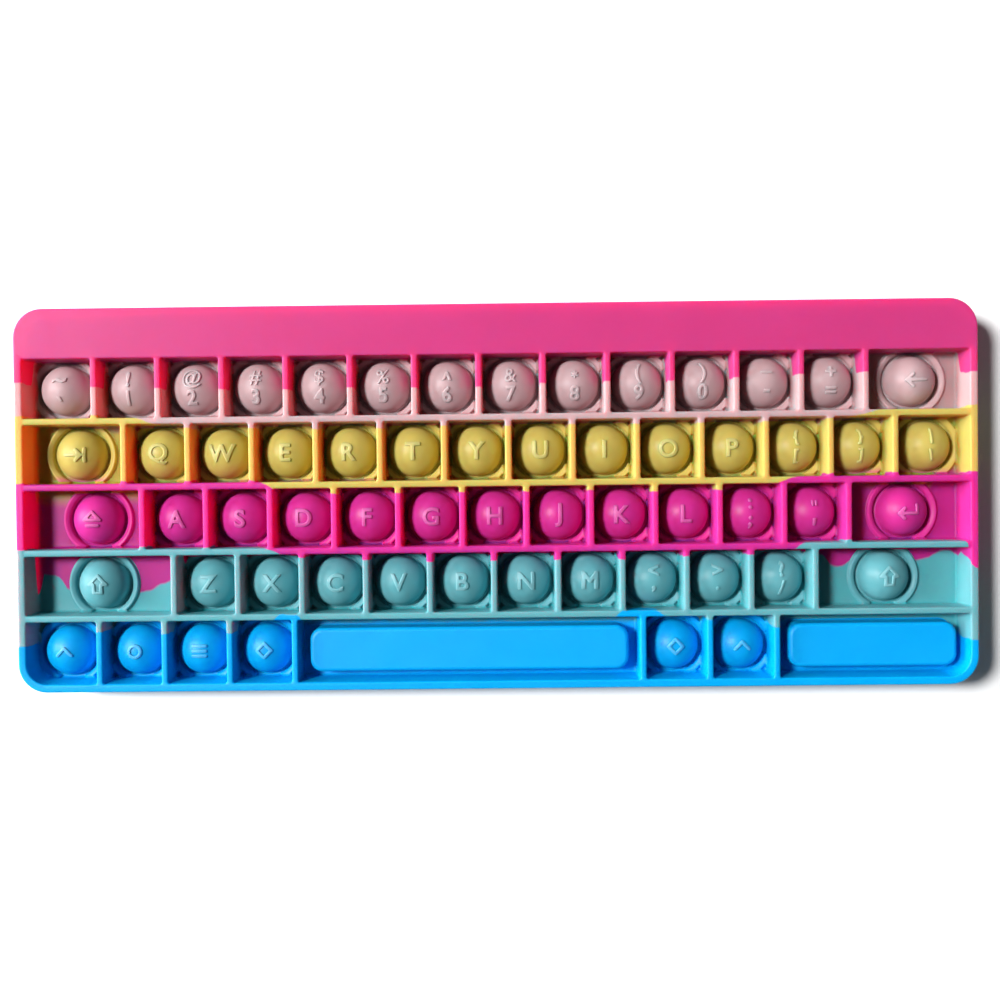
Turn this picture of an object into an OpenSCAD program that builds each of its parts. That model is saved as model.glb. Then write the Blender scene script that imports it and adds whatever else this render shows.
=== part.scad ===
// Pop-bubble keyboard: a silicone tray of square cells laid out like a small keyboard, with a
// push-through bubble in each cell and two fixed raised bars in the bottom row.
// The origin is at the middle of the underside; +X runs along the rows, +Y towards the top rail.

/* [Body] */
// Width of the tray, along X
body_w = 301; // [297:1:305]
// Depth of the tray, along Y
body_d = 120.5; // [119:0.5:122]
// Height from the underside of the skirt to the tops of the walls
body_h = 18; // [17.5:0.1:20]
// Outer radius of the four upright corners
corner_r = 9; // [7:0.5:10]
// Thickness of the outer wall
wall_t = 2.5; // [1.8:0.1:2.8]
// Depth of the plain rail behind the first row, with its front wall
rail_d = 15.75; // [12:0.25:16.25]
// Thickness of the rail's top
rail_top_t = 2; // [1.5:0.1:3]

/* [Cells] */
// Distance between the centre lines of two ribs beside a one-unit key
key_pitch = 20.1; // [20:0.05:20.3]
// Distance between the centre lines of two ribs beside a bottom-row key
low_pitch = 20.5; // [20.2:0.1:20.6]
// Clear depth of a cell in the first four rows
row_clear = 18.65; // [18.5:0.05:18.8]
// Thickness of the ribs between the cells
rib_t = 2; // [1.6:0.1:2.1]
// Depth of a cell, from the tops of the ribs down to the floor
cell_h = 9.5; // [9:0.1:10]
// Thickness of the floor
floor_t = 1.3; // [1:0.1:1.6]

/* [Bubbles] */
// Outer radius of a bubble's sphere
bubble_r = 8.4; // [8:0.1:8.5]
// Height of a bubble's crown above the floor
bubble_rise = 7; // [6:0.1:7]
// Thickness of a bubble's skin
bubble_t = 1.1; // [0.8:0.1:1.4]
// Clearance between a bubble and the hole in the floor that it passes through
bubble_gap = 0.2; // [0.15:0.01:0.25]
// Outer radius of the raised ring around a bubble
ring_r = 11.05; // [11:0.05:11.2]
// Width of the raised ring
ring_w = 1.7; // [1.2:0.05:1.7]
// Height of the raised ring above the floor
ring_h = 1.2; // [1:0.1:1.6]

/* [Bars] */
// Clear space between a bar and the ribs at its ends
bar_end_gap = 3.2; // [2.5:0.1:4]
// Clear space between a bar and the ribs along its sides
bar_side_gap = 2.8; // [2.4:0.1:3.2]
// Height of a bar above the floor
bar_rise = 7; // [5:0.1:8]
// Radius of a bar's upright corners
bar_corner_r = 3.8; // [3:0.1:5]
// Thickness of a bar's shell
bar_t = 1.6; // [1.2:0.1:2]

/* [Hidden] */
$fn = 96;
// The blocks of the moulding stand this far apart, so that each stays a simple solid of its own
seam = 0.02;
floor_top = body_h - cell_h;
floor_bottom = floor_top - floor_t;
bubble_z = floor_top + bubble_rise - bubble_r;
hole_r = bubble_r + bubble_gap;
rib_h = body_h - floor_bottom;

half_w = body_w / 2;
half_d = body_d / 2;
inner_w = half_w - wall_t;
inner_d = half_d - wall_t;
// Centre line of the left wall, where the cells of each row start
row_start = -half_w + wall_t / 2;
row_length = body_w - wall_t;

// Rows from the rail down. A cell is [name, width between rib centre lines, shift of its bubble from
// the middle]; a width of 0 takes what the row has left.
function unit_keys(names, pitch) = [for (n = names) [n, pitch, 0]];
ROWS = [
    concat(
        [["backquote", 23.75, 0]],
        unit_keys(["1", "2", "3", "4", "5", "6", "7", "8", "9", "0", "minus", "equals"], key_pitch),
        [["backspace", 0, 0]]
    ),
    concat(
        [["tab", 32.85, 0]],
        unit_keys(["q", "w", "e", "r", "t", "y", "u", "i", "o", "p", "bracket_left", "bracket_right"],
            key_pitch),
        [["backslash", 0, 0]]
    ),
    concat(
        [["caps", 38.35, 2.4]],
        unit_keys(["a", "s", "d", "f", "g", "h", "j", "k", "l", "semicolon", "quote"], key_pitch),
        [["enter", 0, 0]]
    ),
    concat(
        [["shift_left", 48.05, -1]],
        unit_keys(["z", "x", "c", "v", "b", "n", "m", "comma", "period", "slash"], key_pitch),
        [["shift_right", 0, -0.8]]
    ),
    concat(
        [["control_left", 24.35, 0]],
        unit_keys(["function", "menu", "alt_left"], low_pitch),
        [["bar_space", 109.2, 0], ["alt_right", 20.9, 0], ["control_right", 20.9, 0]],
        [["bar_blank", 0, 0]]
    )
];
row_count = len(ROWS);
last_row = row_count - 1;
last_row_clear = body_d - rail_d - wall_t - last_row * (row_clear + rib_t);
ROW_COLORS = ["lightpink", "khaki", "magenta", "mediumturquoise", "deepskyblue"];

function is_bar(cell) = cell[0] == "bar_space" || cell[0] == "bar_blank";
// Sum of the stated widths of the first n cells of a row
function stated(row, n) = n == 0 ? 0 : stated(row, n - 1) + row[n - 1][1];
function cell_w(row, i) = row[i][1] > 0 ? row[i][1] : row_length - stated(row, len(row));
// Rib centre line at the left and at the right of a cell
function left_x(row, i) = row_start + stated(row, i);
function right_x(row, i) = left_x(row, i) + cell_w(row, i);
function row_depth(r) = r == last_row ? last_row_clear : row_clear;
function row_top(r) = half_d - rail_d - r * (row_clear + rib_t);
function row_y(r) = row_top(r) - row_depth(r) / 2;
// Faces of the cell: the outer cells end at the tray's wall, the others at a rib
function face_left(row, i) = i == 0 ? -inner_w : left_x(row, i) + rib_t / 2;
function face_right(row, i) = i == len(row) - 1 ? inner_w : right_x(row, i) - rib_t / 2;
function bubble_x(row, i) = (face_left(row, i) + face_right(row, i)) / 2 + row[i][2];

// Every bubble as [node name, x, y, row]
BUBBLES = [
    for (r = [0:last_row], i = [0:len(ROWS[r]) - 1])
        if (!is_bar(ROWS[r][i]))
            [str("bubble_", ROWS[r][i][0]), bubble_x(ROWS[r], i), row_y(r), r]
];

// A block with upright sides, given by two opposite corners
module block(low, high) {
    translate(low)
        cube(high - low);
}

// Rectangle with round corners, centred on the origin
module round_outline(w, d, r) {
    square([w - 2 * r, d], center = true);
    square([w, d - 2 * r], center = true);
    for (x = [-1, 1], y = [-1, 1])
        translate([x * (w / 2 - r), y * (d / 2 - r)])
            circle(r);
}

// Inside of the tray's wall, drawn in by one seam so that what fills it stays clear of the wall
module inner_outline() {
    round_outline(2 * (inner_w - seam), 2 * (inner_d - seam), corner_r - wall_t - seam);
}

// Outer wall and skirt: four straight lengths and four round corners, from the table to the top
module outer_wall() {
    straight_w = half_w - corner_r - seam;
    straight_d = half_d - corner_r - seam;
    for (s = [-1, 1]) {
        translate([0, s * (half_d - wall_t / 2), body_h / 2])
            cube([2 * straight_w, wall_t, body_h], center = true);
        translate([s * (half_w - wall_t / 2), 0, body_h / 2])
            cube([wall_t, 2 * straight_d, body_h], center = true);
    }
    for (a = [0, 1, 2, 3])
        translate([
            (a == 0 || a == 3 ? 1 : -1) * (half_w - corner_r),
            (a < 2 ? 1 : -1) * (half_d - corner_r),
            0
        ])
            rotate([0, 0, 90 * a])
                intersection() {
                    difference() {
                        cylinder(r = corner_r, h = body_h);
                        translate([0, 0, -1])
                            cylinder(r = corner_r - wall_t, h = body_h + 2);
                    }
                    cube([corner_r, corner_r, body_h]);
                }
}

// Plain rail behind the first row: a flat top, open below, and a front wall down to the floor
module rail() {
    front = half_d - rail_d;
    block([-inner_w + seam, front, floor_bottom], [inner_w - seam, front + rib_t, body_h]);
    translate([0, 0, body_h - rail_top_t])
        linear_extrude(rail_top_t)
            intersection() {
                inner_outline();
                translate([-inner_w, front + rib_t + seam])
                    square([2 * inner_w, rail_d]);
            }
}

// Long rib under row r
module row_rib(r) {
    y = row_top(r) - row_depth(r);
    block([-inner_w + seam, y - rib_t, floor_bottom], [inner_w - seam, y, body_h]);
}

// Short ribs between the cells of row r
module cell_ribs(r) {
    row = ROWS[r];
    for (i = [1:len(row) - 1])
        translate([left_x(row, i), row_y(r), floor_bottom + rib_h / 2])
            cube([rib_t, row_depth(r) - 2 * seam, rib_h], center = true);
}

// Outline of the floor of cell i in row r
module cell_outline(r, i) {
    row = ROWS[r];
    x0 = face_left(row, i) + seam;
    x1 = face_right(row, i) - seam;
    y1 = row_top(r) - seam;
    y0 = row_top(r) - row_depth(r) + seam;
    intersection() {
        inner_outline();
        translate([x0, y0])
            square([x1 - x0, y1 - y0]);
    }
}

// Floor of a cell with a bubble: a plate with the bubble's hole, and what the cell has room for of
// the raised ring around it
module bubble_floor(r, i) {
    x = bubble_x(ROWS[r], i);
    translate([0, 0, floor_bottom])
        linear_extrude(floor_t)
            difference() {
                cell_outline(r, i);
                translate([x, row_y(r)])
                    circle(hole_r);
            }
    translate([0, 0, floor_top])
        linear_extrude(ring_h)
            intersection() {
                cell_outline(r, i);
                translate([x, row_y(r)])
                    difference() {
                        circle(ring_r);
                        circle(ring_r - ring_w);
                    }
            }
}

// Floor of a cell with a bar, and the bar: a plateau with round corners, open below
module bar_floor(r, i) {
    row = ROWS[r];
    w = face_right(row, i) - face_left(row, i) - 2 * bar_end_gap;
    d = row_depth(r) - 2 * bar_side_gap;
    middle = [(face_left(row, i) + face_right(row, i)) / 2, row_y(r), 0];
    translate([0, 0, floor_bottom])
        linear_extrude(floor_t)
            difference() {
                cell_outline(r, i);
                translate(middle)
                    round_outline(w, d, bar_corner_r);
            }
    translate(middle)
        difference() {
            translate([0, 0, floor_bottom])
                linear_extrude(floor_t + bar_rise)
                    round_outline(w - 2 * seam, d - 2 * seam, bar_corner_r - seam);
            translate([0, 0, floor_bottom - 1])
                linear_extrude(floor_t + bar_rise - bar_t + 1)
                    round_outline(w - 2 * bar_t, d - 2 * bar_t, bar_corner_r - bar_t);
        }
}

module tray() {
    color("hotpink") {
        outer_wall();
        rail();
    }
    for (r = [0:last_row])
        color(ROW_COLORS[r]) {
            if (r < last_row)
                row_rib(r);
            cell_ribs(r);
            for (i = [0:len(ROWS[r]) - 1])
                if (is_bar(ROWS[r][i]))
                    bar_floor(r, i);
                else
                    bubble_floor(r, i);
        }
}

// Bubble: a domed skin with its rim in the hole of the floor
module bubble(place) {
    color(ROW_COLORS[place[3]])
        translate([place[1], place[2], bubble_z])
            rotate_extrude()
                intersection() {
                    difference() {
                        circle(bubble_r);
                        circle(bubble_r - bubble_t);
                    }
                    translate([0, floor_bottom - bubble_z])
                        square([bubble_r, 2 * bubble_r]);
                }
}

tray();
for (place = BUBBLES)
    bubble(place);
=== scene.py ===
"""Looks of the pop-bubble keyboard: a soft silicone tray in six flowing colours, with a raised legend on
each bubble. Lengths are in millimetres, as in the CAD, and become metres as each mesh is made."""

import math

import bmesh
import bpy
from mathutils import Euler, Matrix, Vector
from mathutils.geometry import delaunay_2d_cdt


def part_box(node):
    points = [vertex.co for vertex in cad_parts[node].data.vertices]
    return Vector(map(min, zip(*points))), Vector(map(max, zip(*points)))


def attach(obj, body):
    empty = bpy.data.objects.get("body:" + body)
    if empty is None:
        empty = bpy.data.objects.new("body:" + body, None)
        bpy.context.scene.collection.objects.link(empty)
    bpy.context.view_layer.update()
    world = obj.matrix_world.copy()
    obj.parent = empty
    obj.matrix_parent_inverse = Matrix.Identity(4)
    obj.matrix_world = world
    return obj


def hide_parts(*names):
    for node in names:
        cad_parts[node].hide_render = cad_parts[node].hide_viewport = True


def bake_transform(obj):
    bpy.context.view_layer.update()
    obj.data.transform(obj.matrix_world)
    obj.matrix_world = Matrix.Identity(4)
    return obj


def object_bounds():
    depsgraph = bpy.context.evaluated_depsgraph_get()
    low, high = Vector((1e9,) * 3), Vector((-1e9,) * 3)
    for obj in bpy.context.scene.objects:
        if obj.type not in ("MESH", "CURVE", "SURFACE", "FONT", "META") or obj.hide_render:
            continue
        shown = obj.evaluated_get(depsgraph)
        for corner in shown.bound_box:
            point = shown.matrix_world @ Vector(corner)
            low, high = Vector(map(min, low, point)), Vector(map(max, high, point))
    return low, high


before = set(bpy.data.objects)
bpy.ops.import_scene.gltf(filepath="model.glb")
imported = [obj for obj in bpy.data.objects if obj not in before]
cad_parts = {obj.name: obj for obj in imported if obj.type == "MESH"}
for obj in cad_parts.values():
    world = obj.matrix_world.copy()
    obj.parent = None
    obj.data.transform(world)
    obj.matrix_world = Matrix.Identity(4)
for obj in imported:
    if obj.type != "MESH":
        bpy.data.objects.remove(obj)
cad_low, cad_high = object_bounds()

MM = 0.001
TINY = 1e-7           # what the mesh tools take for nothing

# ---------------------------------------------------------------- the CAD's driving sizes, in millimetres
BODY_W, BODY_D, BODY_H = ((cad_high[i] - cad_low[i]) / MM for i in range(3))
CORNER_R = 9.0        # the tray's upright corners
WALL_T = 2.5          # outer wall and skirt
RAIL_D = 15.75        # rail at the back, with its front wall
RAIL_TOP_T = 2.0
RIB_T = 2.0
CELL_H = 9.5          # from a cell's floor up to the rib tops
FLOOR_T = 1.3
KEY_PITCH = 20.1      # width of a key with its rib, in the upper rows
LOW_PITCH = 20.5      # the same in the lowest row
ROW_CLEAR = 18.65     # depth of a row between its ribs
BUBBLE_R = 8.4        # radius of a bubble's sphere
BUBBLE_T = 1.1
BUBBLE_RISE = 7.0     # how far a crown stands over the floor
RING_R = 11.05        # the raised ring around a bubble
RING_W = 1.7
RING_H = 1.2
BAR_END_GAP = 3.2     # from a bar's ends and sides to the cell's walls
BAR_SIDE_GAP = 2.8
BAR_RISE = 7.0
BAR_CORNER_R = 3.8
BAR_T = 1.6

FLOOR_TOP = BODY_H - CELL_H
FLOOR_LOW = FLOOR_TOP - FLOOR_T
BUBBLE_Z = FLOOR_TOP + BUBBLE_RISE - BUBBLE_R
HALF_W, HALF_D = BODY_W / 2, BODY_D / 2
INNER_W = HALF_W - WALL_T

# ---------------------------------------------------------------- shape details that only the looks have
DRAFT = 0.15          # how far a rib's face leans out at its foot
WALL_DRAFT = 0.7      # the same for the inside of the outer wall
EDGE_R = 0.5          # rounding of the ribs' top edges
TOP_EDGE_R = 0.6      # rounding of the tray's outer top edge
HEM_R = 0.4           # rounding of the skirt's bottom edges
FOOT_MIN, FOOT_MAX = 0.25, 0.8   # smallest and largest fillet at the foot of a cell's walls
FOOT_SHARE = 0.8      # how much of the room beside a bubble that fillet takes
CELL_CORNER_R = 0.7   # radius of a cell's upright corners
CORNER_R_MIN = 0.3    # what is left of it where the outline is drawn in
GROOVE = 0.8          # depth of the groove between a bubble and the ring around it
HOLE_R = 8.45         # edge of the tray's floor, hidden under a bubble's rim
RIM_R = 8.6           # edge of a bubble's rim
RIM_PROUD = 0.03      # how far that rim stands over the tray, above and below
FOOT_IN = 0.35        # how far the dome's foot is drawn in
FOOT_IN_R = 6.5       # radius from which on it is
RAYS = 60             # even steps around a bubble, for the tray
BUBBLE_STEPS = 56     # the same for the bubble itself
MERGE = 0.004         # corners closer than this become one

RIM_TOP = FLOOR_TOP - GROOVE + RIM_PROUD


# ---------------------------------------------------------------- layout of the cells
def unit_keys(names, pitch):
    """Cells of one width, with their bubbles in the middle."""
    return [(name, pitch, 0.0) for name in names]


# a cell is (name, width between rib centre lines, shift of its bubble); width 0 takes the rest of the row
ROWS = [
    [("backquote", 23.75, 0)] + unit_keys([*"1234567890", "minus", "equals"], KEY_PITCH)
    + [("backspace", 0, 0)],
    [("tab", 32.85, 0)] + unit_keys([*"qwertyuiop", "bracket_left", "bracket_right"], KEY_PITCH)
    + [("backslash", 0, 0)],
    [("caps", 38.35, 2.4)] + unit_keys([*"asdfghjkl", "semicolon", "quote"], KEY_PITCH) + [("enter", 0, 0)],
    [("shift_left", 48.05, -1)] + unit_keys([*"zxcvbnm", "comma", "period", "slash"], KEY_PITCH)
    + [("shift_right", 0, -0.8)],
    [("control_left", 24.35, 0)] + unit_keys(["function", "menu", "alt_left"], LOW_PITCH)
    + [("bar_space", 109.2, 0), ("alt_right", 20.9, 0), ("control_right", 20.9, 0), ("bar_blank", 0, 0)],
]
LAST_ROW = len(ROWS) - 1
LAST_CLEAR = BODY_D - RAIL_D - WALL_T - LAST_ROW * (ROW_CLEAR + RIB_T)


class Cell:
    """One cell of the tray: its faces at rib-top level, and its bubble's centre."""

    def __init__(self, row, name, x0, x1, shift):
        depth = LAST_CLEAR if row == LAST_ROW else ROW_CLEAR
        top = HALF_D - RAIL_D - row * (ROW_CLEAR + RIB_T)
        self.row, self.name = row, name
        self.x0, self.x1, self.y0, self.y1 = x0, x1, top - depth, top
        self.cx, self.cy = (x0 + x1) / 2 + shift, (self.y0 + self.y1) / 2
        self.is_bar = name.startswith("bar_")
        # which of its sides are outer walls: left, right, front, back
        left, right, front, back = outer = (x0 == -INNER_W, x1 == INNER_W, row == LAST_ROW, False)
        self.drafts = [WALL_DRAFT if side else DRAFT for side in outer]
        # radii of the corners, from the back right one anticlockwise
        rounded = [right and back, left and back, left and front, right and front]
        self.radii = [CORNER_R - WALL_T if corner else CELL_CORNER_R for corner in rounded]

    def rect(self, inset, drafted):
        """The cell's outline drawn in by inset, and by its walls' lean times drafted."""
        d = [side * drafted + inset for side in self.drafts]
        radii = [max(r - inset, CORNER_R_MIN) for r in self.radii]
        return (self.x0 + d[0], self.x1 - d[1], self.y0 + d[2], self.y1 - d[3]), radii

    def foot(self, angle):
        """Size of the fillet at the wall's foot: smaller where the bubble is close."""
        clear = ray_hit(self.cx, self.cy, angle, *self.rect(0, 1)) - RIM_R
        return min(max(clear * FOOT_SHARE, FOOT_MIN), FOOT_MAX)

    def reach(self, angle):
        """How far the floor reaches from the bubble's centre, up to that fillet."""
        return ray_hit(self.cx, self.cy, angle, *self.rect(self.foot(angle), 1))


def layout():
    """All cells, row by row from the back and from left to right."""
    cells = []
    for r, row in enumerate(ROWS):
        rest = BODY_W - WALL_T - sum(w for _, w, _ in row)
        x = -HALF_W + WALL_T / 2
        for i, (name, w, shift) in enumerate(row):
            right = x + (w or rest)
            x0 = -INNER_W if i == 0 else x + RIB_T / 2
            x1 = INNER_W if i == len(row) - 1 else right - RIB_T / 2
            cells.append(Cell(r, name, x0, x1, shift))
            x = right
    return cells


def check_layout(cells, near=0.05):
    """The layout has to be the CAD's own."""
    for cell in cells:
        if not cell.is_bar:
            low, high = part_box("bubble_" + cell.name)
            middle = (low + high) / 2 / MM
            assert abs(middle.x - cell.cx) < near and abs(middle.y - cell.cy) < near, cell.name


CELLS = layout()
check_layout(CELLS)


# ---------------------------------------------------------------- mesh helpers
class Shell:
    """Vertices and faces gathered in millimetres."""

    def __init__(self):
        self.verts, self.faces = [], []
        self.second = set()   # faces that take the second material

    def loop(self, points):
        """Adds the points and gives their numbers."""
        start = len(self.verts)
        self.verts.extend(points)
        return list(range(start, len(self.verts)))

    def bridge(self, a, b, closed=True):
        """Quads between two loops of as many points. On a tower with b above a, the faces look out."""
        n = len(a)
        for i in range(n if closed else n - 1):
            j = (i + 1) % n
            self.faces.append((a[i], a[j], b[j], b[i]))

    def plane(self, outer, holes, up):
        """Triangles between a convex outer loop and convex holes, all at one height."""
        index = outer + [i for hole in holes for i in hole]
        owner = [-1] * len(outer) + [k for k, hole in enumerate(holes) for _ in hole]
        edges, start = [], 0
        for ring in [outer, *holes]:
            n = len(ring)
            edges += [(start + i, start + (i + 1) % n) for i in range(n)]
            start += n
        flat = [Vector(self.verts[i][:2]) for i in index]
        _, _, faces, source, _, _ = delaunay_2d_cdt(flat, edges, [], 1, TINY)
        for face in faces:
            corners = [source[i][0] for i in face]
            owners = {owner[c] for c in corners}
            if len(owners) == 1 and -1 not in owners:   # the face fills a hole
                continue
            ids = [index[c] for c in corners]
            a, b, c = (Vector(self.verts[i][:2]) for i in ids[:3])
            if ((b - a).cross(c - a) > 0) != up:
                ids.reverse()
            self.faces.append(tuple(ids))

    def mesh(self, name):
        """A smooth-shaded mesh in metres."""
        data = bpy.data.meshes.new(name)
        data.from_pydata([[c * MM for c in v] for v in self.verts], [], self.faces)
        data.polygons.foreach_set("material_index", [int(i in self.second) for i in range(len(self.faces))])
        data.shade_smooth()
        return data


def add_object(name, data):
    obj = bpy.data.objects.new(name, data)
    bpy.context.scene.collection.objects.link(obj)
    return obj


def quarter(steps):
    """Angles from 0 to 90 degrees."""
    return [math.pi / 2 * i / steps for i in range(steps + 1)]


def full_turn(steps):
    return [2 * math.pi * i / steps for i in range(steps)]


def corner_arcs(rect, radii, steps):
    """The arcs of a rectangle's four round corners, anticlockwise from the back right one."""
    x0, x1, y0, y1 = rect
    corners = [(x1, y1, 1, 1), (x0, y1, -1, 1), (x0, y0, -1, -1), (x1, y0, 1, -1)]
    arcs = []
    for k, ((x, y, sx, sy), r) in enumerate(zip(corners, radii)):
        angles = [math.pi / 2 * (k + i / steps) for i in range(steps + 1)]
        arcs.append([(x - sx * r + r * math.cos(a), y - sy * r + r * math.sin(a)) for a in angles])
    return arcs


def round_rect(rect, radii, arc_steps, side_steps):
    """Points of a rectangle with round corners, anticlockwise from the back right corner's arc."""
    arcs = corner_arcs(rect, radii, arc_steps)
    points = []
    for arc, after in zip(arcs, arcs[1:] + arcs[:1]):
        (ax, ay), (bx, by) = arc[-1], after[0]
        points += arc
        points += [(ax + (bx - ax) * i / side_steps, ay + (by - ay) * i / side_steps)
                   for i in range(1, side_steps)]
    return points


def ray_hit(x, y, angle, rect, radii):
    """Distance from (x, y) to a round-cornered rectangle around it."""
    x0, x1, y0, y1 = rect
    c, s = math.cos(angle), math.sin(angle)
    sx, sy = (1 if c > 0 else -1), (1 if s > 0 else -1)
    side_x, side_y = (x1 if sx > 0 else x0), (y1 if sy > 0 else y0)
    t = min((side_x - x) / c if abs(c) > TINY else math.inf, (side_y - y) / s if abs(s) > TINY else math.inf)
    r = radii[{(1, 1): 0, (-1, 1): 1, (-1, -1): 2, (1, -1): 3}[sx, sy]]
    kx, ky = side_x - sx * r, side_y - sy * r   # the centre of the corner's arc
    if sx * (x + t * c - kx) > 0 and sy * (y + t * s - ky) > 0:
        b = (x - kx) * c + (y - ky) * s
        t = -b + math.sqrt(max(b * b - (x - kx) ** 2 - (y - ky) ** 2 + r * r, 0))
    return t


def corner_angles(cell):
    """Rays into the arcs of the cell's four corners."""
    return [math.atan2(y - cell.cy, x - cell.cx) for arc in corner_arcs(*cell.rect(0, 1), 4) for x, y in arc]


def crossing_angles(cell):
    """Rays to the points where each circle of the ring's profile runs into a wall."""
    steps, halvings = 360, 20
    scan = [*full_turn(steps), 2 * math.pi]
    reach = [cell.reach(a) for a in scan]
    angles = []
    for radius, _ in RING_PROFILE[1:]:
        for i in range(steps):
            if (reach[i] < radius) != (reach[i + 1] < radius):
                low, high = scan[i], scan[i + 1]
                for _ in range(halvings):
                    mid = (low + high) / 2
                    if (cell.reach(mid) < radius) == (reach[i] < radius):
                        low = mid
                    else:
                        high = mid
                angles.append(low)
    return angles


def apart(angle, others, least):
    """Whether an angle is at least that far from all the others."""
    return all(abs((angle - b + math.pi) % (2 * math.pi) - math.pi) > least for b in others)


def cell_angles(cell):
    """Even steps around the bubble, with extra rays where the cell's corners and the ring need them."""
    kept = []
    for angles, least_degrees in (
        (crossing_angles(cell), 0.3), (corner_angles(cell), 0.6), (full_turn(RAYS), 1.8)
    ):
        for a in angles:
            if apart(a, kept, math.radians(least_degrees)):
                kept.append(a)
    return sorted(a % (2 * math.pi) for a in kept)


# ---------------------------------------------------------------- tray
RING_IN = RING_R - RING_W
# the floor's height around a bubble, as (radius, height): groove, raised ring, floor
RING_PROFILE = [
    (HOLE_R, -GROOVE), (RING_IN - 0.35, -GROOVE), (RING_IN - 0.22, -0.55), (RING_IN - 0.15, 0.1),
    (RING_IN, 0.55), (RING_IN + 0.35, 0.85), (RING_R - 0.75, RING_H - 0.1), (RING_R - 0.35, RING_H),
    (RING_R - 0.1, RING_H - 0.1), (RING_R, RING_H - 0.4), (RING_R + 0.08, 0.35), (RING_R + 0.5, 0),
]


def ring_height(radius):
    """How high the tray stands over its floor at that distance from a bubble's centre."""
    for (r0, h0), (r1, h1) in zip(RING_PROFILE, RING_PROFILE[1:]):
        if radius <= r1:
            return h0 + (h1 - h0) * max(radius - r0, 0) / (r1 - r0)
    return 0.0


EDGE_ANGLES = quarter(2)   # the steps of the fillets at a cell's foot and at its rib tops


def bubble_cell(shell, cell):
    """The surface of a cell with a bubble, from the hole's edge to the rib tops, and its end loops."""
    angles = cell_angles(cell)
    foot = [cell.foot(a) for a in angles]
    reach = [cell.reach(a) for a in angles]

    def ring_of(radii, heights):
        return shell.loop([(cell.cx + r * math.cos(a), cell.cy + r * math.sin(a), z)
                           for a, r, z in zip(angles, radii, heights)])

    loops = []
    for r, _ in RING_PROFILE:
        at = [min(r, far) for far in reach]
        loops.append(ring_of(at, [FLOOR_TOP + ring_height(x) for x in at]))
    base = [FLOOR_TOP + ring_height(x) for x in reach]
    for a0 in EDGE_ANGLES:
        at = [ray_hit(cell.cx, cell.cy, a, *cell.rect(f * (1 - math.sin(a0)), 1))
              for a, f in zip(angles, foot)]
        loops.append(ring_of(at, [b + f * (1 - math.cos(a0)) for b, f in zip(base, foot)]))
    for a0 in EDGE_ANGLES:
        out = EDGE_R * (1 - math.cos(a0))
        at = [ray_hit(cell.cx, cell.cy, a, *cell.rect(-out, EDGE_R / CELL_H)) for a in angles]
        loops.append(ring_of(at, [BODY_H - EDGE_R + EDGE_R * math.sin(a0)] * len(angles)))
    start = len(shell.faces)
    for k, (a, b) in enumerate(zip(loops, loops[1:])):
        shell.bridge(b, a)
        if k == len(RING_PROFILE) - 2:
            shell.second.update(range(start, len(shell.faces)))
    return loops[0], loops[-1]


def bar_rect(cell, inset):
    """The outline of a cell's bar, drawn in by inset."""
    return (cell.x0 + BAR_END_GAP + inset, cell.x1 - BAR_END_GAP - inset,
            cell.y0 + BAR_SIDE_GAP + inset, cell.y1 - BAR_SIDE_GAP - inset)


def bar_cell(shell, cell):
    """The surface of a cell with a bar: plateau, sloping sides, floor and walls, and its last loop."""
    arc, side = 6, 10            # steps along a corner and along a side
    crown_r, foot_r = 1.3, 0.5   # rounding of the plateau's edge, and fillet at the bar's foot
    lean = 0.1                   # how far the bar's sides lean in
    shrink = 0.5                 # how much less the corners' radii get per millimetre drawn in

    def rounded(rect, radii, z):
        return shell.loop([(x, y, z) for x, y in round_rect(rect, radii, arc, side)])

    top = FLOOR_TOP + BAR_RISE
    loops = []
    for a in quarter(4):
        inset = lean + crown_r * (1 - math.sin(a))
        radii = [BAR_CORNER_R - shrink * inset] * 4
        loops.append(rounded(bar_rect(cell, inset), radii, top - crown_r + crown_r * math.cos(a)))
    for a in quarter(3):
        out = foot_r * (1 - math.cos(a))
        radii = [BAR_CORNER_R + out] * 4
        loops.append(rounded(bar_rect(cell, -out), radii, FLOOR_TOP + foot_r * (1 - math.sin(a))))
    bar_loops = len(loops)
    for a0 in EDGE_ANGLES:
        rect, radii = cell.rect(FOOT_MAX * (1 - math.sin(a0)), 1)
        loops.append(rounded(rect, radii, FLOOR_TOP + FOOT_MAX * (1 - math.cos(a0))))
    for a0 in EDGE_ANGLES:
        rect, radii = cell.rect(-EDGE_R * (1 - math.cos(a0)), EDGE_R / CELL_H)
        loops.append(rounded(rect, radii, BODY_H - EDGE_R + EDGE_R * math.sin(a0)))
    start = len(shell.faces)
    shell.faces.append(tuple(loops[0]))
    for k, (a, b) in enumerate(zip(loops, loops[1:])):
        shell.bridge(b, a)
        if k == bar_loops - 2:
            shell.second.update(range(start, len(shell.faces)))
    return loops[-1]


def tray_outline(offset):
    """The tray's outline drawn in by offset, as two chains. They meet where the rail's front wall begins."""
    w, d, r = HALF_W - offset, HALF_D - offset, CORNER_R - offset
    meet = HALF_D - RAIL_D + RIB_T
    back_right, back_left, front_left, front_right = corner_arcs((-w, w, -d, d), [r] * 4, 10)
    return [(w, meet)] + back_right + back_left + [(-w, meet)], front_left + front_right


def outline_loop(shell, offset, z):
    """The whole outline at one height."""
    upper, lower = tray_outline(offset)
    return shell.loop([(x, y, z) for x, y in upper + lower])


def merged(data):
    """The mesh with the corners that meet made one, and the slivers this leaves removed."""
    bm = bmesh.new()
    bm.from_mesh(data)
    bmesh.ops.remove_doubles(bm, verts=bm.verts, dist=MERGE * MM)
    bmesh.ops.dissolve_degenerate(bm, edges=bm.edges, dist=TINY)
    bm.to_mesh(data)
    bm.free()
    data.shade_smooth()
    return data


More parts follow.
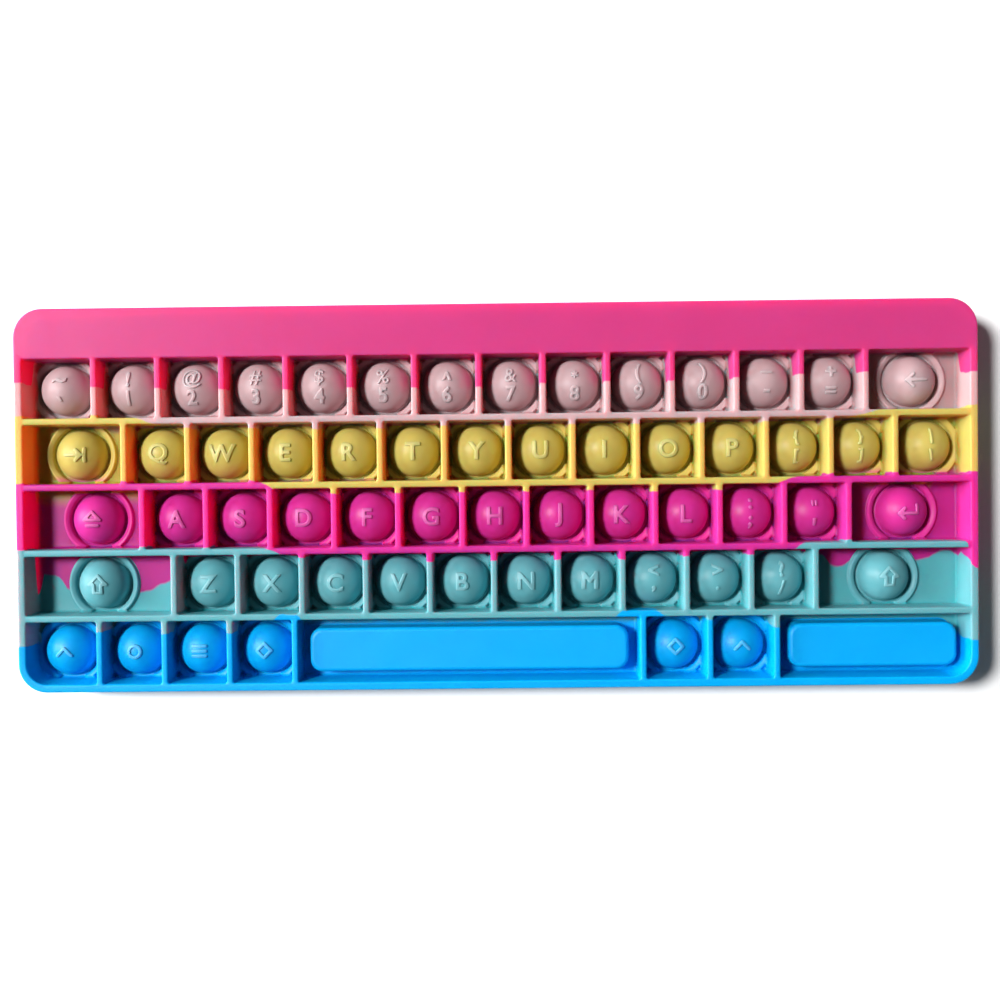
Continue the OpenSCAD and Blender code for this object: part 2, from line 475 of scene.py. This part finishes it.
def build_tray():
    """The whole moulding but the bubbles, as one closed skin."""
    shell = Shell()
    holes, openings = [], []
    for cell in CELLS:
        if cell.is_bar:
            openings.append(bar_cell(shell, cell))
        else:
            inner, outer = bubble_cell(shell, cell)
            holes.append((cell, inner))
            openings.append(outer)
    # the flat of the rail and rib tops, the round outer edge, the side, the hem and the inside of the skirt
    loops = []
    for a in quarter(5):
        z = BODY_H - TOP_EDGE_R * (1 - math.cos(a))
        loops.append(outline_loop(shell, TOP_EDGE_R * (1 - math.sin(a)), z))
    shell.plane(loops[0], openings, up=True)
    hem = [(HEM_R * (1 - math.cos(a)), HEM_R * (1 - math.sin(a))) for a in quarter(3)]
    loops += [outline_loop(shell, inset, z) for inset, z in hem]
    loops += [outline_loop(shell, WALL_T - inset, z) for inset, z in reversed(hem)]
    for a, b in zip(loops, loops[1:]):
        shell.bridge(b, a)
    skirt = loops[-1]
    upper, lower = tray_outline(WALL_T)
    upper_n = len(upper)
    # under the rail: a deep hollow up to the rail's top
    roof = shell.loop([(x, y, BODY_H - RAIL_TOP_T) for x, y in upper])
    shell.bridge(roof, skirt[:upper_n], closed=False)
    shell.faces.append(tuple(reversed(roof)))
    # under the cells: the flat underside of the floor
    ceiling = shell.loop([(x, y, FLOOR_LOW) for x, y in [upper[-1], *lower, upper[0]]])
    shell.bridge(ceiling, skirt[upper_n - 1:] + skirt[:1], closed=False)
    shell.faces.append((roof[0], roof[-1], ceiling[0], ceiling[-1]))
    under = []
    for cell, inner in holes:
        low = shell.loop([(shell.verts[i][0], shell.verts[i][1], FLOOR_LOW) for i in inner])
        shell.bridge(inner, low)
        under.append(low)
    for cell in CELLS:
        if cell.is_bar:
            under.append(bar_hollow(shell, cell))
    shell.plane(ceiling, under, up=False)
    return merged(shell.mesh("tray_moulding"))


def bar_hollow(shell, cell):
    """The hollow inside a bar, open below."""
    radii = [BAR_CORNER_R - BAR_T] * 4
    outline = round_rect(bar_rect(cell, BAR_T), radii, 5, 1)
    top = shell.loop([(x, y, FLOOR_TOP + BAR_RISE - BAR_T) for x, y in outline])
    low = shell.loop([(x, y, FLOOR_LOW) for x, y in outline])
    shell.bridge(top, low)
    shell.faces.append(tuple(reversed(top)))
    return low


# ---------------------------------------------------------------- bubbles
HOLLOW_R = BUBBLE_R - BUBBLE_T
# radii of the dome's circles from its crown out, and those of the hollow from its foot in, as shares of it
DOME_RADII = [0.9, 1.8, 2.7, 3.6, 4.4, 5.2, 5.9, 6.5, 7.0, 7.4, 7.7, 7.92, 8.1, 8.22]
HOLLOW_SHARES = [0.975, 0.93, 0.86, 0.76, 0.64, 0.5, 0.34, 0.17]
# the fillet from the dome to the rim, as (how far out of the dome's foot, how far over the rim)
DOME_FILLET = [(-0.02, 0.2), (0.05, 0.06), (0.14, 0.0)]
# the rim's underside from its edge in, as (radius, how far below the tray's floor)
RIM_UNDERSIDE = [(RIM_R, RIM_PROUD), (8.3, RIM_PROUD), (8.0, 0.0), (7.65, 0.0), (HOLLOW_R, 0.0)]
HOLLOW_FOOT = (HOLLOW_R - 0.02, FLOOR_LOW + 0.4)   # end of the short upright stretch where the hollow begins


def outer_skin(r):
    """Height of the dome at that distance from its middle."""
    return BUBBLE_Z + math.sqrt(max(BUBBLE_R ** 2 - r * r, 0))


def inner_skin(r):
    """Height of the skin's underside."""
    if r >= HOLLOW_R:
        return FLOOR_LOW
    return max(BUBBLE_Z + math.sqrt(HOLLOW_R ** 2 - r * r), FLOOR_LOW)


def drawn_in(r):
    """The dome stands a little steeper at its foot than the CAD's sphere."""
    return r - FOOT_IN * max((r - FOOT_IN_R) / (BUBBLE_R - FOOT_IN_R), 0) ** 2


def bubble_shell(cell):
    """The skin of one bubble: dome above, hollow below, and a flat rim that laps the edge of the floor."""
    shell = Shell()
    n = BUBBLE_STEPS

    def circle(r, z):
        return shell.loop([(cell.cx + r * math.cos(a), cell.cy + r * math.sin(a), z) for a in full_turn(n)])

    foot = drawn_in(math.sqrt(BUBBLE_R ** 2 - (RIM_TOP - BUBBLE_Z) ** 2))
    dome = [(drawn_in(r), outer_skin(r)) for r in DOME_RADII]
    dome += [(foot + out, RIM_TOP + over) for out, over in DOME_FILLET]
    rim = [(RIM_R, RIM_TOP)] + [(r, FLOOR_LOW - below) for r, below in RIM_UNDERSIDE]
    hollow = [HOLLOW_FOOT] + [(HOLLOW_R * share, inner_skin(HOLLOW_R * share)) for share in HOLLOW_SHARES]
    crown = shell.loop([(cell.cx, cell.cy, outer_skin(0))])[0]
    loops = [circle(r, z) for r, z in dome + rim + hollow]
    pit = shell.loop([(cell.cx, cell.cy, inner_skin(0))])[0]
    for a, b in zip(loops, loops[1:]):
        shell.bridge(b, a)
    for i in range(n):
        j = (i + 1) % n
        shell.faces.append((crown, loops[0][i], loops[0][j]))
        shell.faces.append((pit, loops[-1][j], loops[-1][i]))
    return shell


# ---------------------------------------------------------------- legends
# plain signs for the keys that carry a word, as lines between points in millimetres
ARROW_UP = [[(0, 3), (-2.7, 0.2), (-1.2, 0.2), (-1.2, -2.5), (1.2, -2.5), (1.2, 0.2), (2.7, 0.2), (0, 3)]]
CHEVRON = [[(-2.2, -1), (0, 1.3), (2.2, -1)]]
DIAMOND = [[(0, 2.3), (2.3, 0), (0, -2.3), (-2.3, 0), (0, 2.3)]]
SIGNS = {
    "backspace": [[(3, 0), (-3, 0)], [(-1, 2), (-3, 0), (-1, -2)]],
    "tab": [[(-3.2, 0), (2, 0)], [(0.3, 1.7), (2, 0), (0.3, -1.7)], [(3, 2), (3, -2)]],
    "caps": [[(-2.5, 0), (0, 2.6), (2.5, 0), (-2.5, 0)], [(-1.8, -1.8), (1.8, -1.8)]],
    "enter": [[(2.8, 2), (2.8, -0.6), (-2.8, -0.6)], [(-1.2, 1), (-2.8, -0.6), (-1.2, -2.2)]],
    "shift_left": ARROW_UP,
    "shift_right": ARROW_UP,
    "control_left": CHEVRON,
    "control_right": CHEVRON,
    "function": [[(1.9 * math.cos(a), 1.9 * math.sin(a)) for a in (math.pi / 8 * i for i in range(17))]],
    "menu": [[(-2, 1.6), (2, 1.6)], [(-2, 0), (2, 0)], [(-2, -1.6), (2, -1.6)]],
    "alt_left": DIAMOND,
    "alt_right": DIAMOND,
}
# upper and lower character of the keys that carry two
PAIRS = {digit: upper + digit for digit, upper in zip("1234567890", "!@#$%^&*()")}
PAIRS.update(backquote="~`", minus="_-", equals="+=", bracket_left="{[", bracket_right="}]", backslash="|\\",
             semicolon=":;", quote="\"'", comma="<,", period=">.", slash="?/")
LETTER_H = 5.7        # height of a capital letter
PAIR_H = 4.6          # height of each of two characters
PAIR_Y = 2.95         # how far each stands from the middle
STROKE = 1.0          # width of a sign's line
CAPITAL_SHARE = 0.729   # height of the font's capitals as a share of its size
BOLD = 0.22           # how much the font's strokes are widened on each side
FINE_BOLD = 0.1       # the same for the intricate characters
INTRICATE = "@#$%&\""
# characters that are drawn larger or smaller than the rest
SCALED = {"'": 1.2, "`": 1.2, "~": 1.2, **dict.fromkeys("{}[]|\\", 0.76)}
STAR_R = 1.0          # half the width of the star over the 8
STAR_STROKE = 0.55    # width of its lines
LEGEND_H = 0.42       # how far a legend stands out of the bubble
LEGEND_SINK = 0.3     # how deep it is rooted in the skin
LEGEND_PAINTED_HIGHLIGHT = 0.07   # painted highlight: how far a legend's colour is whitened, for the light its raised edges catch
VOXEL = 0.14          # grain of the remesh that rounds a legend


def character_mesh(text, height, y):
    """A flat character of the given capital height as a thin plate, centred on (0, y)."""
    curve = bpy.data.curves.new("character", "FONT")
    curve.body = text
    curve.size = height / CAPITAL_SHARE * SCALED.get(text, 1)
    curve.extrude = (LEGEND_H + LEGEND_SINK) / 2
    curve.offset = FINE_BOLD if text in INTRICATE else BOLD
    curve.resolution_u = 6
    obj = add_object("character", curve)
    bpy.context.view_layer.update()
    data = bpy.data.meshes.new_from_object(obj.evaluated_get(bpy.context.evaluated_depsgraph_get()))
    bpy.data.objects.remove(obj)
    bpy.data.curves.remove(curve)
    xs, ys = [v.co.x for v in data.vertices], [v.co.y for v in data.vertices]
    data.transform(Matrix.Translation((-(min(xs) + max(xs)) / 2, y - (min(ys) + max(ys)) / 2, 0)))
    return data


def sign_mesh(lines, stroke=STROKE):
    """A sign drawn with round-ended strokes, as a thin plate."""
    shell = Shell()
    half = (LEGEND_H + LEGEND_SINK) / 2
    r = stroke / 2
    for line in lines:
        for (ax, ay), (bx, by) in zip(line, line[1:]):
            along = math.atan2(by - ay, bx - ax)
            outline = []
            for x, y, start in ((bx, by, along - math.pi / 2), (ax, ay, along + math.pi / 2)):
                outline += [(x + r * math.cos(a), y + r * math.sin(a))
                            for a in (start + math.pi * i / 8 for i in range(9))]
            low = shell.loop([(x, y, -half) for x, y in outline])
            high = shell.loop([(x, y, half) for x, y in outline])
            shell.bridge(low, high)
            shell.faces.append(tuple(high))
            shell.faces.append(tuple(reversed(low)))
    data = bpy.data.meshes.new("sign")
    data.from_pydata(shell.verts, [], shell.faces)
    return data


def pair_mesh(text, y):
    """One of the two characters of a key that carries two. The font's star is too fine for the remesh."""
    if text != "*":
        return character_mesh(text, PAIR_H, y)
    arms = [(STAR_R * math.cos(a), STAR_R * math.sin(a)) for a in (math.pi / 2, math.pi / 6, -math.pi / 6)]
    return sign_mesh([[(dx, y + dy), (-dx, y - dy)] for dx, dy in arms], STAR_STROKE)


def legend_plates(name):
    """The flat plates of a key's legend."""
    if name in SIGNS:
        return [sign_mesh(SIGNS[name])]
    if name in PAIRS:
        upper, lower = PAIRS[name]
        return [pair_mesh(upper, PAIR_Y), pair_mesh(lower, -PAIR_Y)]
    return [character_mesh(name.upper(), LETTER_H, 0)]


def legend(cell):
    """The raised legend of a bubble as vertices and faces: soft-edged, and laid over the dome."""
    bm = bmesh.new()
    for plate in legend_plates(cell.name):
        bm.from_mesh(plate)
        bpy.data.meshes.remove(plate)
    data = bpy.data.meshes.new("legend")
    bm.to_mesh(data)
    bm.free()
    obj = add_object("legend", data)
    remesh = obj.modifiers.new("remesh", "REMESH")
    remesh.mode = "VOXEL"
    remesh.voxel_size = VOXEL
    smooth = obj.modifiers.new("smooth", "SMOOTH")
    smooth.iterations = 4
    smooth.factor = 0.5
    bpy.context.view_layer.update()
    final = bpy.data.meshes.new_from_object(obj.evaluated_get(bpy.context.evaluated_depsgraph_get()))
    bpy.data.objects.remove(obj)
    bpy.data.meshes.remove(data)
    middle = (LEGEND_H - LEGEND_SINK) / 2
    verts = []
    for v in final.vertices:
        x, y, z = v.co
        verts.append((cell.cx + x, cell.cy + y, outer_skin(math.hypot(x, y)) + z + middle))
    faces = [tuple(p.vertices) for p in final.polygons]
    bpy.data.meshes.remove(final)
    return verts, faces


def build_bubble(cell):
    """One bubble with its legend, in place of the CAD's bubble."""
    shell = bubble_shell(cell)
    skin_faces = len(shell.faces)
    verts, faces = legend(cell)
    start = len(shell.verts)
    shell.verts.extend(verts)
    shell.faces.extend(tuple(start + i for i in face) for face in faces)
    shell.second.update(range(skin_faces, len(shell.faces)))
    name = "bubble_" + cell.name
    obj = add_object(name + "_skin", shell.mesh(name + "_skin"))
    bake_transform(obj)
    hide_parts(name)
    return obj


# ---------------------------------------------------------------- silicone
PINK = (0.626, 0.044, 0.207)
PALE = (0.513, 0.353, 0.367)
YELLOW = (0.545, 0.438, 0.108)
MAGENTA = (0.583, 0.026, 0.275)
TEAL = (0.122, 0.374, 0.418)
BLUE = (0.0, 0.365, 0.76)
BANDS = [PINK, PALE, YELLOW, MAGENTA, TEAL, BLUE]
# painted shade: the same silicones, darker and more saturated on the floors, for the shade at the bottom of
# the cells
SHADED_FLOOR_BANDS = [PINK, (0.50, 0.255, 0.265), (0.49, 0.30, 0.045), (0.55, 0.018, 0.215),
              (0.10, 0.355, 0.395), BLUE]


def level(y):
    """A flow line that runs straight across."""
    return [(-HALF_W, y), (HALF_W, y)]


# Where each colour gives way to the next, as (x, y) points in millimetres along the flow line. It runs one
# way on the ribs and walls, another on the floors, where the colours reached further or less far, and a
# third on the bubbles and rings. "soft" is the width of the change on the floors.
SEAMS = [
    dict(   # hot pink to pale pink
        soft=2.0,
        walls=[
            (-150, 37.0), (-125, 35.7), (-107, 34.9), (-87, 34.7), (-67, 34.2), (-47, 34.4),
            (-27, 34.0), (-7, 33.8), (13, 35.2), (33, 35.6), (55, 35.8), (80, 36.4), (115, 37.4),
            (150, 37.3)
        ],
        floors=level(44.3),
        bubbles=level(46.0),
    ),
    dict(   # pale pink to yellow
        soft=3.0,
        walls=[
            (-150, 26.6), (-118, 26.4), (-108, 24.4), (-100, 22.6), (-50, 22.0), (0, 22.4),
            (60, 22.2), (105, 23.0), (114, 24.2), (126, 26.2), (150, 26.6)
        ],
        floors=[
            (-150, 24.0), (-115, 22.0), (-60, 22.4), (0, 22.0), (60, 22.6), (120, 22.0), (150, 24.0)
        ],
        bubbles=level(24.9),
    ),
    dict(   # yellow to magenta
        soft=6.0,
        walls=[
            (-150, 5.6), (-90, 6.0), (-76, 5.6), (-68, 3.0), (-50, 1.4), (0, 1.6), (60, 1.2),
            (84, 2.2), (93, 5.0), (110, 6.2), (150, 6.0)
        ],
        floors=[
            (-150, 0.8), (-140, 0.4), (-126, 1.6), (-117, 0.6), (-110, 3.8), (-60, 5.4), (0, 4.0),
            (100, 4.0), (118, 3.4), (131, 2.4), (137, 1.4), (140, 6.0), (144, 8.0), (148, 6.0),
            (150, 6.0)
        ],
        bubbles=[
            (-150, 6.6), (-118, 6.4), (-105, 3.8), (0, 3.6), (92, 3.8), (108, 6.2), (126, 6.6),
            (150, 6.0)
        ],
    ),
    dict(   # magenta to teal
        soft=1.0,
        walls=[
            (-150, -15.4), (-146, -15.2), (-95, -14.8), (-74, -15.4), (-66, -18.0), (-40, -19.6),
            (0, -20.2), (50, -19.6), (78, -19.0), (92, -17.8), (99, -15.2), (110, -14.8),
            (145.5, -15.2), (148, -22.0), (150, -24.0)
        ],
        floors=[
            (-150, -34.0), (-147.6, -33.0), (-146.9, -27.0), (-146.2, -23.6), (-143, -23.6),
            (-138.5, -28.2), (-126, -30.5), (-114, -29.4), (-108.4, -27.5), (-102, -24.5),
            (-96, -19.0), (-40, -18.6), (0, -18.8), (60, -18.6), (98, -19.0), (105, -20.3),
            (109.5, -23.8), (113, -21.8), (122, -20.4), (134, -21.8), (140, -20.0), (145, -18.9),
            (150, -23.4)
        ],
        bubbles=level(-16.4),
    ),
    dict(   # teal to blue
        soft=2.5,
        walls=[
            (-150, -45.6), (-140, -44.0), (-125, -41.4), (-90, -42.4), (-73, -40.3), (-69, -37.2),
            (-65, -36.2), (-62, -37.0), (-58, -40.0), (-30, -39.5), (20, -39.5), (36, -38.6),
            (40, -36.2), (48, -35.9), (53, -38.2), (70, -39.6), (88, -41.6), (125, -41.4),
            (143, -42.6), (146, -45.4), (150, -46.4)
        ],
        floors=[
            (-150, -45.5), (-145, -44.6), (-138, -42.0), (-120, -41.0), (-57, -39.9), (33, -40.6),
            (92, -40.8), (102, -42.8), (143, -43.0), (150, -46.4)
        ],
        bubbles=level(-37.1),
    ),
]
SHARP_SEAM = 0.5      # width of the change of colour on the ribs and walls
BUBBLE_SEAM = 4.0     # the same on the bubbles
SEAM_WOBBLE = 0.5     # how far a flow line strays to either side
# the floors' painted-shade colours and their flow lines turn into the ribs' between these heights over the
# floor
RAISED_FROM, RAISED_TO = 1.0, 3.5
# and between these distances outside the inner walls, so that the outer sides have the ribs' too
OUTSIDE_FROM, OUTSIDE_TO = 0.2, 0.6
CLOUDS = 0.12         # how much the colour's brightness varies in soft clouds
ROUGHNESS = 0.36, 0.52   # the silicone's smoothest and roughest patches
GRAIN = 0.05          # depth of the mould's fine grain
LIGHT_REACH = 1.0     # how far green and blue light goes through the silicone
RED_REACH_TRAY, RED_REACH_BUBBLES = 10.0, 1.8   # the same for red light
SHEEN_TRAY, SHEEN_BUBBLES = 0.2, 0.35   # specular level


class Nodes:
    """Short ways to add shader nodes and join them."""

    def __init__(self, tree):
        self.tree = tree

    def add(self, kind, inputs=(), **settings):
        """A node with its inputs set to values, or joined to the sockets given."""
        node = self.tree.nodes.new(kind)
        for key, value in settings.items():
            setattr(node, key, value)
        for socket, value in dict(inputs).items():
            if isinstance(value, bpy.types.NodeSocket):
                self.tree.links.new(value, node.inputs[socket])
            else:
                node.inputs[socket].default_value = value
        return node

    def math(self, operation, a, b=0.0, c=0.0):
        return self.add("ShaderNodeMath", {0: a, 1: b, 2: c}, operation=operation).outputs[0]

    def ramp(self, value, low, high):
        """0 at low, 1 at high, smooth between."""
        inputs = {0: value, 1: low, 2: high, 3: 0.0, 4: 1.0}
        return self.add("ShaderNodeMapRange", inputs, interpolation_type="SMOOTHSTEP").outputs[0]

    def noise(self, place, scale, detail):
        """Noise around 0.5, with about as many bumps to a metre as scale says."""
        return self.add("ShaderNodeTexNoise", {"Vector": place, "Scale": scale, "Detail": detail}).outputs[0]

    def mix(self, factor, a, b):
        """Colour a at 0, colour b at 1."""
        return self.add("ShaderNodeMix", {0: factor, 6: a, 7: b}, data_type="RGBA").outputs[2]

    def between(self, factor, a, b):
        """Number a at 0, number b at 1."""
        return self.add("ShaderNodeMix", {0: factor, 2: a, 3: b}, data_type="FLOAT").outputs[0]


def flow_curve(nodes, x, points):
    """The y of a flow line at x, both in millimetres."""
    ys = [y for _, y in points]
    if min(ys) == max(ys):
        return ys[0]
    # the curve runs from 0 to 1 both ways, with a margin on each side of the points
    low, span, reach = min(ys) - 1, max(ys) - min(ys) + 2, BODY_W + 10
    node = nodes.add("ShaderNodeFloatCurve", {1: nodes.math("MULTIPLY_ADD", x, 1 / reach, 0.5)})
    line = node.mapping.curves[0].points
    ends = (-reach / 2, ys[0]), (reach / 2, ys[-1])
    spots = [(px / reach + 0.5, (py - low) / span) for px, py in (ends[0], *points, ends[1])]
    line[0].location, line[-1].location = spots[0], spots[-1]
    for spot in spots[1:-1]:
        line.new(*spot)
    node.mapping.update()
    return nodes.math("MULTIPLY_ADD", node.outputs[0], span, low)


def rainbow(nodes, on_bubble):
    """The silicone's colour by place: six bands, with wavy flow lines between them, and painted shade that
    darkens the bands on the floors.
    """
    place = nodes.add("ShaderNodeTexCoord").outputs["Object"]
    split = nodes.add("ShaderNodeSeparateXYZ", {0: place})
    x, y, z = (nodes.math("MULTIPLY", split.outputs[i], 1 / MM) for i in range(3))
    # 0 on the floors, 1 on the ribs and walls
    outside = nodes.ramp(nodes.math("ABSOLUTE", x), INNER_W + OUTSIDE_FROM, INNER_W + OUTSIDE_TO)
    raised = nodes.ramp(z, FLOOR_TOP + RAISED_FROM, FLOOR_TOP + RAISED_TO)
    raised = nodes.math("MAXIMUM", raised, outside)
    # the noise keeps within about a quarter of its middle, which is 0.5
    wobble = nodes.math("MULTIPLY_ADD", nodes.noise(place, 160.0, 2.0), 4 * SEAM_WOBBLE, -2 * SEAM_WOBBLE)
    colour = (*BANDS[0], 1)
    for band, shaded_floor, seam in zip(BANDS[1:], SHADED_FLOOR_BANDS[1:], SEAMS):
        band = (*band, 1)
        if on_bubble:
            soft = BUBBLE_SEAM
            line = flow_curve(nodes, x, seam["bubbles"])
        else:
            soft = nodes.between(raised, seam["soft"], SHARP_SEAM)
            on_floors = flow_curve(nodes, x, seam["floors"])
            on_walls = flow_curve(nodes, x, seam["walls"])
            line = nodes.between(raised, on_floors, on_walls)
            # painted shade: the floors take the darker band colours, the ribs and walls the plain ones
            band = nodes.mix(raised, (*shaded_floor, 1), band)
        below = nodes.math("SUBTRACT", nodes.math("ADD", line, wobble), y)
        share = nodes.ramp(nodes.math("DIVIDE", below, soft), -0.5, 0.5)
        colour = nodes.mix(share, colour, band)
    return colour, place


def silicone(name, on_bubble, painted_highlight=0.0):
    """Soft satin silicone: a little light goes through it, and its surface has the mould's fine grain."""
    material = bpy.data.materials.new(name)
    material.use_nodes = True
    tree = material.node_tree
    tree.nodes.clear()
    nodes = Nodes(tree)
    colour, place = rainbow(nodes, on_bubble)
    value = nodes.math("MULTIPLY_ADD", nodes.noise(place, 45.0, 3.0), CLOUDS, 1 - CLOUDS / 2)
    colour = nodes.add("ShaderNodeHueSaturation", {"Color": colour, "Value": value}).outputs[0]
    # painted highlight: the colour is mixed towards white by that share
    colour = nodes.mix(painted_highlight, colour, (1, 1, 1, 1))
    grain = nodes.noise(place, 2600.0, 2.0)
    bump = nodes.add("ShaderNodeBump", {"Strength": 0.12, "Distance": GRAIN * MM, "Height": grain})
    smooth, rough = ROUGHNESS
    roughness = nodes.math("MULTIPLY_ADD", nodes.noise(place, 90.0, 3.0), rough - smooth, smooth)
    shader = nodes.add("ShaderNodeBsdfPrincipled",
                       {"Base Color": colour, "Roughness": roughness, "Normal": bump.outputs[0]})
    shader.inputs["IOR"].default_value = 1.41   # silicone's
    shader.inputs["Specular IOR Level"].default_value = SHEEN_BUBBLES if on_bubble else SHEEN_TRAY
    shader.inputs["Subsurface Weight"].default_value = 1.0
    red_reach = RED_REACH_BUBBLES if on_bubble else RED_REACH_TRAY
    shader.inputs["Subsurface Radius"].default_value = (red_reach, LIGHT_REACH, LIGHT_REACH)
    shader.inputs["Subsurface Scale"].default_value = MM
    output = nodes.add("ShaderNodeOutputMaterial")
    tree.links.new(shader.outputs[0], output.inputs[0])
    return material


# ---------------------------------------------------------------- camera, light and floor, in metres
CAMERA_PLACE = (0.0040, 0.0042, 0.3632)
CAMERA_TILT = (-0.89, 0.42, -0.63)   # degrees about x, y and z
SENSOR_MM, LENS_MM = 36, 39.8
# a high light from the left, and a low one that shines on the walls that face left: place, diameter, watts
LIGHTS = {
    "key": ((-1.68, 0.52, 2.35), 0.6, 112),
    "low": ((-3.0, 0.6, 1.0), 1.6, 140),
}
WORLD_LIGHT = 0.06    # strength of the white surroundings
GROUND_SIZE = 6.0
GROUND_WHITE = 0.95


def build_camera():
    """The photograph's view: straight down, about a third of a metre up, a hair turned and tilted."""
    data = bpy.data.cameras.new("camera")
    data.sensor_width = SENSOR_MM
    data.lens = LENS_MM
    data.clip_start, data.clip_end = 0.01, 20
    camera = add_object("camera", data)
    camera.location = CAMERA_PLACE
    camera.rotation_euler = Euler([math.radians(a) for a in CAMERA_TILT])
    bpy.context.scene.camera = camera


def area_light(name, place, size, watts):
    """A round light aimed at the middle of the object's foot."""
    data = bpy.data.lights.new(name, "AREA")
    data.shape = "DISK"
    data.size, data.energy = size, watts
    light = add_object(name, data)
    light.location = place
    light.rotation_euler = (-Vector(place)).to_track_quat("-Z", "Y").to_euler()


def build_ground():
    """A large white table top."""
    half = GROUND_SIZE / 2
    corners = [(-half, -half, 0), (half, -half, 0), (half, half, 0), (-half, half, 0)]
    data = bpy.data.meshes.new("floor")
    data.from_pydata(corners, [], [(0, 1, 2, 3)])
    floor = add_object("floor", data)
    material = bpy.data.materials.new("floor")
    material.use_nodes = True
    shader = material.node_tree.nodes["Principled BSDF"]
    shader.inputs["Base Color"].default_value = (GROUND_WHITE, GROUND_WHITE, GROUND_WHITE, 1)
    shader.inputs["Roughness"].default_value = 0.8
    data.materials.append(material)


def build_light():
    """The two lights and the faint white surroundings."""
    for name, (place, size, watts) in LIGHTS.items():
        area_light(name, place, size, watts)
    world = bpy.data.worlds.new("world")
    bpy.context.scene.world = world
    world.use_nodes = True
    background = world.node_tree.nodes["Background"]
    background.inputs[0].default_value = (1, 1, 1, 1)
    background.inputs[1].default_value = WORLD_LIGHT


# ---------------------------------------------------------------- the scene
bpy.context.scene.view_settings.view_transform = "Standard"
build_camera()
build_ground()
build_light()

tray_material = silicone("silicone_tray", on_bubble=False)
bubble_material = silicone("silicone_bubbles", on_bubble=True)
legend_material = silicone("silicone_legends", on_bubble=True, painted_highlight=LEGEND_PAINTED_HIGHLIGHT)

tray = add_object("tray_moulding", build_tray())
tray.data.materials.append(tray_material)
tray.data.materials.append(bubble_material)   # on the rings, whose colours follow the bubbles'
tray.modifiers.new("weighted", "WEIGHTED_NORMAL")
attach(tray, "tray")
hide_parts("tray")

for cell in CELLS:
    if not cell.is_bar:
        bubble = build_bubble(cell)
        bubble.data.materials.append(bubble_material)
        bubble.data.materials.append(legend_material)
